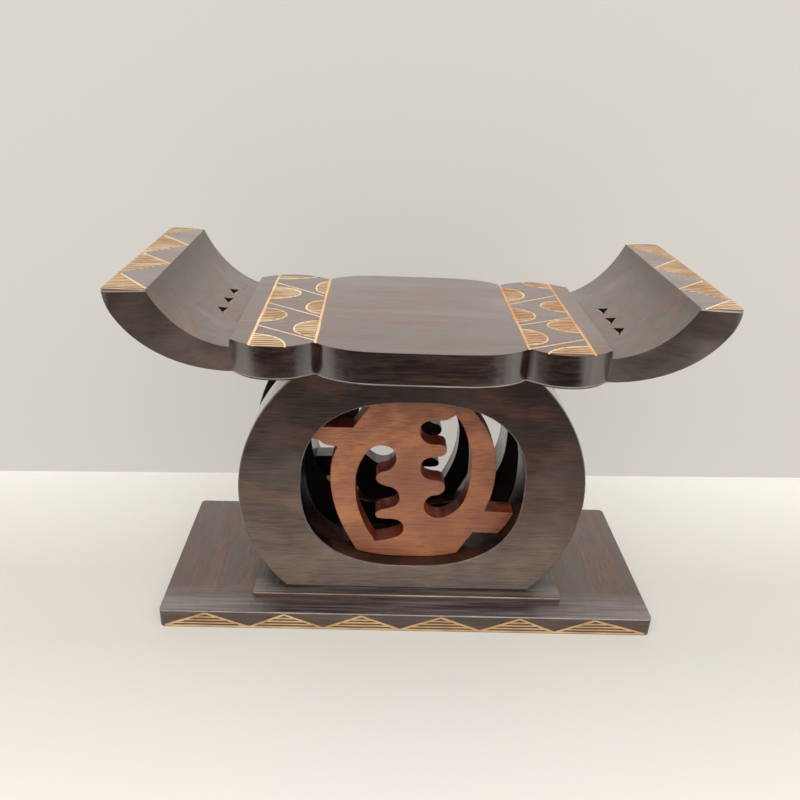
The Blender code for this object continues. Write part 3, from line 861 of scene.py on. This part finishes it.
def seat_pick(face):
    """The wood of a face of the seat, or None where it has its cut's wood or the first wood."""
    if face.material_index != 0:
        return None
    centre = face.calc_center_median()
    up = face.normal.z
    outward = face.normal.x * (1 if centre.x > 0 else -1)
    small = face.calc_area() < SMALL_AREA
    if in_chips(centre) and small:
        # the inward faces of the cuts take painted shade
        if outward < -PIT_SLOPE and up < PIT_SLOPE:
            return pit_shade_wood
        if outward > CHIP_SLOPE:
            return chip_wood
    if up > RIDGE_LEVEL and small and on_ridge(centre):
        return ridge_wood
    # the rounded ends of the tips and the rounded lower edge take a painted highlight
    if SEAT_TILTED < up < FLAT and centre.z > TIP_Z - TIP_ROUND and abs(centre.y) > TIP_HIGHLIGHT_Y:
        return seat_edge_highlight_wood
    low = centre.z < SEAT_LOW_Z + SEAT_LOW_ROUND and abs(centre.y) > SEAT_LOW_ROUND_Y
    if -FLAT < up < -SEAT_TILTED and low:
        return seat_edge_highlight_wood
    if abs(up) < SEAT_UPRIGHT and abs(centre.x) < MIDDLE_END_X and centre.z < SEAT_TOP_Z - NEAR:
        return edge_wood
    if abs(face.normal.y) > SEAT_UPRIGHT or up < SEAT_UNDER:
        return side_wood
    if abs(centre.x) > MIDDLE_END_X and centre.z < TIP_Z - DISH_DROP:
        return dish_wood
    return None


def dress_seat():
    mesh = even_copy("seat")
    round_over(mesh, (0, 0, -1), -SEAT_LOW_Z, SEAT_LOW_ROUND, lambda at: abs(at.y) > SEAT_LOW_ROUND_Y)
    round_over(mesh, (0, 0, 1), TIP_Z, TIP_ROUND, lambda at: abs(at.y) > TIP_ROUND_Y)
    give_woods(
        mesh, seat_wood, dish_wood, edge_wood, side_wood, seat_edge_highlight_wood, pit_shade_wood, ridge_wood, chip_wood,
    )
    for group, wood in seat_cuts():
        mesh = cut(mesh, group, wood)
    finish_piece(mesh, "carved_seat", "seat", seat_pick)


def base_cuts():
    """Sets of cuts for the base's front and rear edges: the stripes in the triangles, their rising
    sides, their falling sides, and the level line that they stand on."""
    stripes = []
    rising = []
    falling = []
    level = []
    for side in (-1, 1):
        place = flat_side(side)
        foot = [(-TRIANGLES_END_X, TRIANGLE_LOW_Z), (TRIANGLES_END_X, TRIANGLE_LOW_Z)]
        level.append((foot, TRIANGLE_WIDTH, CUT_DEPTH, place))
        for corners in TRIANGLES_X:
            left, apex, right = (-side * x for x in corners)
            peak = (apex, TRIANGLE_HIGH_Z)
            rising.append(([(left, TRIANGLE_LOW_Z), peak], TRIANGLE_WIDTH, CUT_DEPTH, place))
            falling.append(([peak, (right, TRIANGLE_LOW_Z)], TRIANGLE_WIDTH, CUT_DEPTH, place))
            for i in range(1, STRIPE_COUNT + 1):
                share = i / STRIPE_PARTS
                z = TRIANGLE_LOW_Z + (TRIANGLE_HIGH_Z - TRIANGLE_LOW_Z) * share
                start = left + (apex - left) * share
                end = right + (apex - right) * share
                inset = STRIPE_GAP if end > start else -STRIPE_GAP
                stripes.append(([(start + inset, z), (end - inset, z)], STRIPE_WIDTH, HATCH_DEPTH, place))
    return stripes, rising, falling, level


def dress_base():
    mesh = even_copy("base_board")
    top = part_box("base_board")[1][2]

    def pick(face):
        if face.material_index != 0 or face.normal.z > FLAT:
            return None
        # the rounded top edge takes a painted highlight
        rounded = face.normal.z > TILTED and face.calc_center_median().z > top - BASE_ROUND
        return board_edge_highlight_wood if rounded else base_face_wood

    round_over(mesh, (0, 0, 1), top, BASE_ROUND, at_rim("base_board"))
    give_woods(mesh, base_wood, base_face_wood, board_edge_highlight_wood)
    for group in base_cuts():
        mesh = cut(mesh, group, gold_wood)
    finish_piece(mesh, "carved_base", "base_board", pick)


def dress_step():
    mesh = even_copy("base_step")
    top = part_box("base_step")[1][2]

    def pick(face):
        if face.normal.z > FLAT:
            return None
        if face.normal.z < TILTED or face.calc_center_median().z < top - STEP_ROUND:
            return side_wood
        # the rounded front and rear edges are worn and have a painted highlight; the other rounded edges
        # have a painted highlight
        return wear_and_highlight_wood if abs(face.normal.y) > abs(face.normal.x) else board_edge_highlight_wood

    round_over(mesh, (0, 0, 1), top, STEP_ROUND, at_rim("base_step"))
    give_woods(mesh, step_wood, wear_and_highlight_wood, board_edge_highlight_wood, side_wood)
    finish_piece(mesh, "polished_step", "base_step", pick)


def dress_upright(node, name, woods, outward, radius, pick):
    """A ring or a panel, whose edges are rounded on the face that looks towards outward along Y."""
    mesh = even_copy(node)
    low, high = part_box(node)
    level = high[1] if outward > 0 else -low[1]
    round_over(mesh, (0, outward, 0), level, radius)
    give_woods(mesh, *woods)
    finish_piece(mesh, name, node, pick)


def dress_ring(word, outward):
    """A ring and its panel. Their outer faces look towards outward along Y; the inner ones are painted near
    black, as painted shade in the gap between the rings.
    """
    # the rear panel's slot walls take painted shade
    wall_wood = slot_wood if outward < 0 else shaded_slot_wood

    def in_hole(centre):
        across = abs(centre.x) / HOLE_REACH_X
        up = abs(centre.z - HOLE_MIDDLE_Z) / HOLE_REACH_Z
        return across**HOLE_POWER + up**HOLE_POWER < 1.0

    def ring_pick(face):
        out = face.normal.y * outward
        if out < BACKWARD:
            return inner_shade_wood
        # the rounded edges take a painted highlight
        if TILTED < out < FLAT:
            return ring_edge_highlight_wood
        if abs(out) < SIDEWAYS:
            return hole_wood if in_hole(face.calc_center_median()) else ring_side_wood
        return None

    def panel_pick(face):
        out = face.normal.y * outward
        if out < BACKWARD:
            return inner_shade_wood
        return wall_wood if abs(out) < SIDEWAYS else None

    dress_upright(
        f"{word}_ring", f"polished_{word}_ring",
        (ring_wood, hole_wood, ring_side_wood, ring_edge_highlight_wood, inner_shade_wood), outward, RING_ROUND, ring_pick,
    )
    dress_upright(
        f"{word}_symbol_panel", f"{word}_symbol",
        (symbol_wood, wall_wood, inner_shade_wood), outward, PANEL_ROUND, panel_pick,
    )
    for where in ("top", "bottom"):
        give_woods(nodes[f"{word}_{where}_panel_peg"].data, peg_wood)


dress_seat()
dress_base()
dress_step()
dress_ring("front", -1)
dress_ring("rear", 1)


# where the stage's colours change and where its sheets lie, in metres
FLOOR_Z = -0.0002
FLOOR_HALF = 4
FLOOR_FAR_Y = (-0.02, 0.21)
FLOOR_NEAR_Y = (-0.12, -0.38)
WALL_Y = 0.2155
WALL_HALF = 3.5
WALL_HEIGHT = 2.2
WALL_TURN = math.radians(1.87)
# a sheet of painted shade in front, which only the polish sees
SHADE_SHEET_Z = 0.004
SHADE_SHEET_X = (-1.00, 0.76)
SHADE_SHEET_Y = (-2.4, -0.40)
SHADE_SHEET_MIDDLE_X = -0.12
SHADE_SHEET_FADE_X = (0.70, 0.86)
SHADE_SHEET_FADE_Y = (-0.62, -0.44)
FLOOR_GLOW = 0.35
WALL_GLOW = 0.6


def mottled(made, colour):
    """A plain colour, a little darker in wide patches."""
    patches = made.noise((1.2, 1.2, 1.2), detail=1.0)
    return made.blend(patches, colour, tinted(colour, (0.97, 0.97, 0.97)))


def matt(made, paint):
    made.feed(made.shader.inputs["Base Color"], paint)
    made.shader.inputs["Roughness"].default_value = 0.9
    made.shader.inputs["Specular IOR Level"].default_value = 0.1
    return made.shader.outputs["BSDF"]


def glowing(made, paint, glow):
    """Matt paint. A share of it, glow, is seen at its own brightness whatever falls on it."""
    rays = made.tree.nodes.new("ShaderNodeLightPath").outputs
    direct = made.maths("MAXIMUM", rays["Is Camera Ray"], rays["Is Glossy Ray"])
    direct = made.maths("MAXIMUM", direct, rays["Is Transmission Ray"])
    light = made.tree.nodes.new("ShaderNodeEmission")
    made.feed(light.inputs["Color"], paint)
    share = made.maths("MULTIPLY", direct, glow)
    return made.mix_shaders(share, matt(made, paint), light.outputs["Emission"])


def see_through(made, share, shader):
    """The shader, clear where share is 1. It becomes what the material shows."""
    clear = made.tree.nodes.new("ShaderNodeBsdfTransparent")
    seen = made.mix_shaders(share, shader, clear.outputs["BSDF"])
    made.feed(made.tree.nodes["Material Output"].inputs["Surface"], seen)


def floor_paint():
    """Warm white, darker in a band level with the stool as a painted shadow, and whiter towards the wall and
    in front of the stool as painted light.
    """
    made = Nodes("floor_paint")
    paint = mottled(made, (0.79, 0.765, 0.705))
    paint = made.blend(made.span(made.axis("Y"), *FLOOR_FAR_Y), paint, (1.0, 0.98, 0.92))
    paint = made.blend(made.span(made.axis("Y"), *FLOOR_NEAR_Y), paint, (1.0, 0.97, 0.92))
    made.feed(made.tree.nodes["Material Output"].inputs["Surface"], glowing(made, paint, FLOOR_GLOW))
    return made.material


def wall_paint():
    """Warm grey, clear from behind."""
    made = Nodes("wall_paint")
    paint = glowing(made, mottled(made, (0.71, 0.685, 0.635)), WALL_GLOW)
    see_through(made, made.tree.nodes.new("ShaderNodeNewGeometry").outputs["Backfacing"], paint)
    return made.material


def shade_sheet_paint():
    """Near black painted shade for the polish to reflect, fading out towards the stool and to both sides."""
    made = Nodes("shade_sheet_paint")
    paint = matt(made, mottled(made, (0.010, 0.009, 0.009)))
    aside = made.maths("ABSOLUTE", made.maths("SUBTRACT", made.axis("X"), SHADE_SHEET_MIDDLE_X), 0.0)
    faded = made.maths("MAXIMUM", made.span(aside, *SHADE_SHEET_FADE_X), made.span(made.axis("Y"), *SHADE_SHEET_FADE_Y))
    see_through(made, faded, paint)
    return made.material


def sheet(name, corners, material):
    mesh = bpy.data.meshes.new(name)
    mesh.from_pydata(corners, [], [(0, 1, 2, 3)])
    mesh.materials.append(material)
    made = bpy.data.objects.new(name, mesh)
    scene.collection.objects.link(made)
    return made


def level_corners(left, right, near, far, z):
    return [(left, near, z), (right, near, z), (right, far, z), (left, far, z)]


# the stage: a pale floor with painted shade level with the stool, a wall close behind the stool, and a sheet
# of painted shade
sheet("floor", level_corners(-FLOOR_HALF, FLOOR_HALF, -FLOOR_HALF, FLOOR_HALF, FLOOR_Z), floor_paint())

wall_middle = Vector((0.0, WALL_Y, 0.0))
wall_reach = Vector((math.cos(WALL_TURN), math.sin(WALL_TURN), 0.0)) * WALL_HALF
wall_rise = Vector((0, 0, WALL_HEIGHT))
wall_left = wall_middle - wall_reach
wall_right = wall_middle + wall_reach
wall = sheet("wall", [wall_left, wall_right, wall_right + wall_rise, wall_left + wall_rise], wall_paint())
wall.visible_shadow = False
wall.visible_glossy = False

# a dark sheet on the floor in front, which only the polish reflects: painted shade that stands for the dark
# room beyond the table
shade_sheet = sheet("shade_sheet", level_corners(*SHADE_SHEET_X, *SHADE_SHEET_Y, SHADE_SHEET_Z), shade_sheet_paint())
shade_sheet.visible_camera = False
shade_sheet.visible_diffuse = False
shade_sheet.visible_shadow = False
shade_sheet.visible_transmission = False


def softbox(name, place, aim, width, height, power, colour):
    lamp = bpy.data.lights.new(name, "AREA")
    lamp.shape = "RECTANGLE"
    lamp.size = width
    lamp.size_y = height
    lamp.energy = power
    lamp.color = colour
    made = bpy.data.objects.new(name, lamp)
    made.location = place
    made.rotation_euler = (Vector(aim) - Vector(place)).to_track_quat("-Z", "Y").to_euler()
    made.visible_camera = False
    scene.collection.objects.link(made)


# two soft lamps, one behind and one above and in front, in an even pale surround
softbox("back_softbox", (0.0, 1.45, 1.15), (0, 0, 0.25), 2.6, 1.1, 14.0, (1.0, 0.90, 0.81))
softbox("overhead_softbox", (0.0, -1.3, 2.0), (0, 0, 0.1), 3.2, 2.0, 30.0, (1.0, 0.975, 0.95))

world = bpy.data.worlds.new("surround")
world.use_nodes = True
surround = world.node_tree.nodes["Background"]
surround.inputs["Color"].default_value = (1.0, 0.985, 0.965, 1.0)
surround.inputs["Strength"].default_value = 0.66
scene.world = world

# the camera stands in front, a little to the left and above, with the photograph's slight turn
CAMERA_PLACE = (-0.0397, -0.7117, 0.5615)
CAMERA_ACROSS = Vector((0.99908, -0.01617, 0.03969))
CAMERA_UPWARD = Vector((-0.02885, 0.43118, 0.90180))
CAMERA_BACKWARD = Vector((-0.03169, -0.90212, 0.43032))
camera_data = bpy.data.cameras.new("camera")
camera_data.sensor_width = 36.0
camera_data.lens = 33.52
camera = bpy.data.objects.new("camera", camera_data)
turned = Matrix((CAMERA_ACROSS, CAMERA_UPWARD, CAMERA_BACKWARD)).transposed().to_4x4()
camera.matrix_world = Matrix.Translation(CAMERA_PLACE) @ turned
scene.collection.objects.link(camera)
scene.camera = camera
scene.view_settings.view_transform = "Standard"
